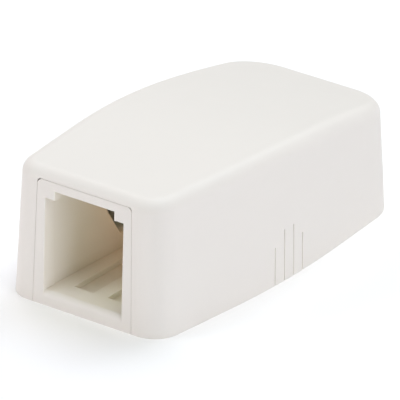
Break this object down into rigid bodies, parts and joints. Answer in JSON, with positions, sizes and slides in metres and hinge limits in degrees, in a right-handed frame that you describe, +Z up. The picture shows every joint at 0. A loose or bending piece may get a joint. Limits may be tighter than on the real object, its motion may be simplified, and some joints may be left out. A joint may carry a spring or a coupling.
{
  "type": "surface mount jack box",
  "caption": "Low rounded box with sides that bend out and a top that falls to the rear: a clip-on cover over a flat base whose upright frame takes a modular jack.",
  "frame": {"origin": "on the mounting surface, at the middle of the box's length and width", "axes": "+Z up, away from the mounting surface; +Y towards the rear, where the cable enters; the port faces -Y; +X to the right seen from the port end"},
  "size_m": [0.034, 0.062, 0.0218],
  "materials": {
    "cover": "fine matt off-white moulding",
    "base": "fine matt off-white moulding",
    "foam_pad": "closed-cell foam tape",
    "release_liner": "waxed paper"
  },
  "bodies": {
    "base": {"base": "base", "foam_pad": "foam_pad", "release_liner": "release_liner"},
    "cover": {"cover": "cover"}
  },
  "joints": [
    {"name": "cover_lift", "type": "slide", "parent": "base", "child": "cover", "axis": [0, 0, 1], "range_m": [0, 0.03]}
  ]
}
